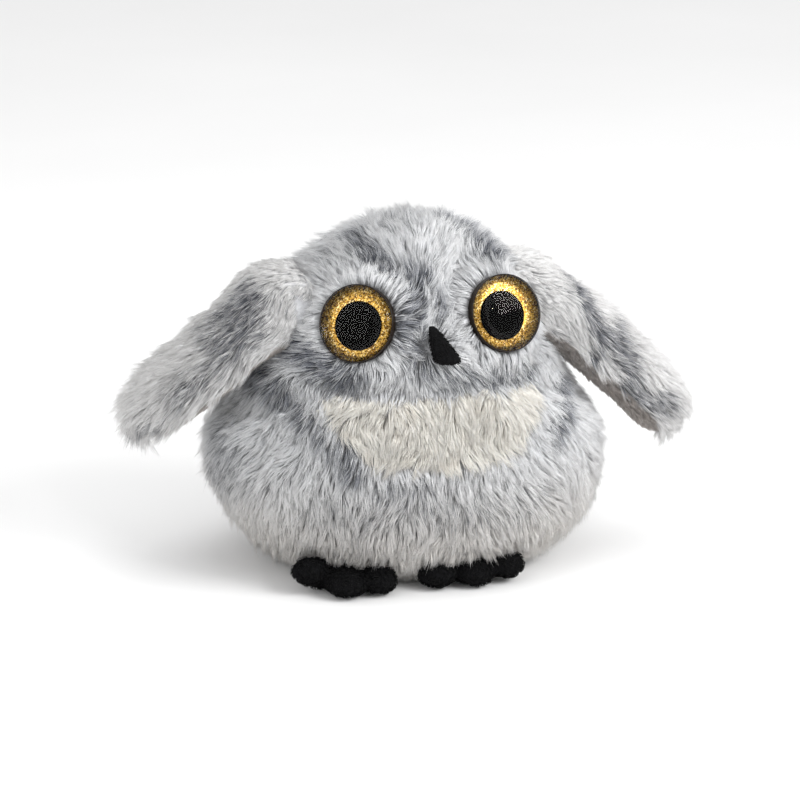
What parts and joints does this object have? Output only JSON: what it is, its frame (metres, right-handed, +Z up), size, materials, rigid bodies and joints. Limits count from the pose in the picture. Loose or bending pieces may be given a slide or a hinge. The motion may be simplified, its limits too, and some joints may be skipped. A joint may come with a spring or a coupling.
{
  "type": "interactive plush owl",
  "caption": "Round stuffed owl with long mottled grey fur, glitter eyes and two drooping wings that a hidden gear drive flaps.",
  "frame": {"origin": "middle of the base, on the surface the toy stands on", "axes": "+Z up, the face looks along -Y, +X is the viewer's right"},
  "size_m": [0.215, 0.1276, 0.134],
  "materials": {
    "grey_fur": "long silky pile, near-white tips over darker grey-blue roots",
    "fibre_fill": "loose polyester fibre",
    "cream_fur": "long cream pile",
    "black_plush": "short black pile",
    "black_felt": "matt black felt",
    "clear_lens": "clear polished dome",
    "pupil_black": "polished black",
    "gold_glitter": "gold and brown glitter film",
    "eye_cup": "polished black",
    "casing": "fine moulded texture",
    "nylon": "natural moulded nylon",
    "steel": "satin",
    "dark_plastic": "satin moulded",
    "circuit_board": "green solder mask",
    "plated_metal": "plated",
    "battery_wrap": "printed wrap left plain"
  },
  "bodies": {
    "body": {"body_skin": "grey_fur", "body_stuffing": "fibre_fill", "belly_patch": "cream_fur", "beak": "black_felt", "foot_left": "black_plush", "foot_right": "black_plush", "eye_lens_left": "clear_lens", "eye_pupil_left": "pupil_black", "eye_iris_left": "gold_glitter", "eye_cup_left": "eye_cup", "eye_washer_left": "nylon", "eye_lens_right": "clear_lens", "eye_pupil_right": "pupil_black", "eye_iris_right": "gold_glitter", "eye_cup_right": "eye_cup", "eye_washer_right": "nylon", "case_front": "casing", "case_rear": "casing", "case_screw_1": "steel", "case_screw_2": "steel", "case_screw_3": "steel", "case_screw_4": "steel", "idler_axle_left": "steel", "idler_axle_right": "steel", "reduction_axle": "steel", "motor": "steel", "touch_switch": "dark_plastic", "button_spring": "steel", "circuit_board": "circuit_board", "controller_chip": "dark_plastic", "microphone": "plated_metal", "speaker_basket": "plated_metal", "speaker_cone": "dark_plastic", "battery_box": "casing", "battery_1": "battery_wrap", "battery_2": "battery_wrap", "battery_3": "battery_wrap", "battery_contact_front": "steel", "battery_contact_rear": "steel", "power_switch": "dark_plastic"},
    "wing_left": {"wing_skin_left": "grey_fur", "wing_stuffing_left": "fibre_fill", "wing_frame_left": "nylon", "wing_shaft_left": "steel", "wing_gear_left": "nylon"},
    "wing_right": {"wing_skin_right": "grey_fur", "wing_stuffing_right": "fibre_fill", "wing_frame_right": "nylon", "wing_shaft_right": "steel", "wing_gear_right": "nylon"},
    "idler_left": {"idler_gear_left": "nylon"},
    "idler_right": {"idler_gear_right": "nylon"},
    "reduction": {"reduction_gear": "nylon"},
    "motor_rotor": {"motor_shaft": "steel", "motor_pinion": "nylon"},
    "head_button": {"head_button": "dark_plastic"},
    "battery_door": {"battery_door": "casing"},
    "power_switch_knob": {"power_switch_knob": "dark_plastic"}
  },
  "joints": [
    {"name": "wing_left_flap", "type": "hinge", "parent": "body", "child": "wing_left", "pos_m": [-0.044, 0, 0.0985], "axis": [0, 1, 0], "range_deg": [0, 40]},
    {"name": "wing_right_flap", "type": "hinge", "parent": "body", "child": "wing_right", "pos_m": [0.044, 0, 0.0985], "axis": [0, -1, 0], "range_deg": [0, 40]},
    {"name": "idler_left_spin", "type": "hinge", "parent": "body", "child": "idler_left", "pos_m": [-0.021, 0, 0.08167], "axis": [0, 1, 0], "range_deg": [-15, 0]},
    {"name": "idler_right_spin", "type": "hinge", "parent": "body", "child": "idler_right", "pos_m": [0.021, 0, 0.08167], "axis": [0, 1, 0], "range_deg": [0, 15]},
    {"name": "reduction_spin", "type": "hinge", "parent": "body", "child": "reduction", "pos_m": [-0.021, 0, 0.05317], "axis": [0, 1, 0], "range_deg": [0, 41]},
    {"name": "motor_spin", "type": "hinge", "parent": "body", "child": "motor_rotor", "pos_m": [0.0015, 0, 0.05317], "axis": [0, 1, 0], "range_deg": [-82, 0]},
    {"name": "head_button_press", "type": "slide", "parent": "body", "child": "head_button", "axis": [0, 0, -1], "range_m": [0, 0.002], "stiffness_N_per_m": 300, "springref_m": -0.001, "deforming": ["button_spring"]},
    {"name": "battery_door_slide", "type": "slide", "parent": "body", "child": "battery_door", "axis": [0, 1, 0], "range_m": [0, 0.009]},
    {"name": "power_switch_slide", "type": "slide", "parent": "body", "child": "power_switch_knob", "axis": [1, 0, 0], "range_m": [0, 0.003]}
  ],
  "couplings": [
    {"joint": "wing_right_flap", "follows": "wing_left_flap", "ratio": 1},
    {"joint": "idler_left_spin", "follows": "wing_left_flap", "ratio": -0.35714},
    {"joint": "idler_right_spin", "follows": "wing_left_flap", "ratio": 0.35714},
    {"joint": "reduction_spin", "follows": "wing_left_flap", "ratio": 1},
    {"joint": "motor_spin", "follows": "wing_left_flap", "ratio": -2}
  ]
}
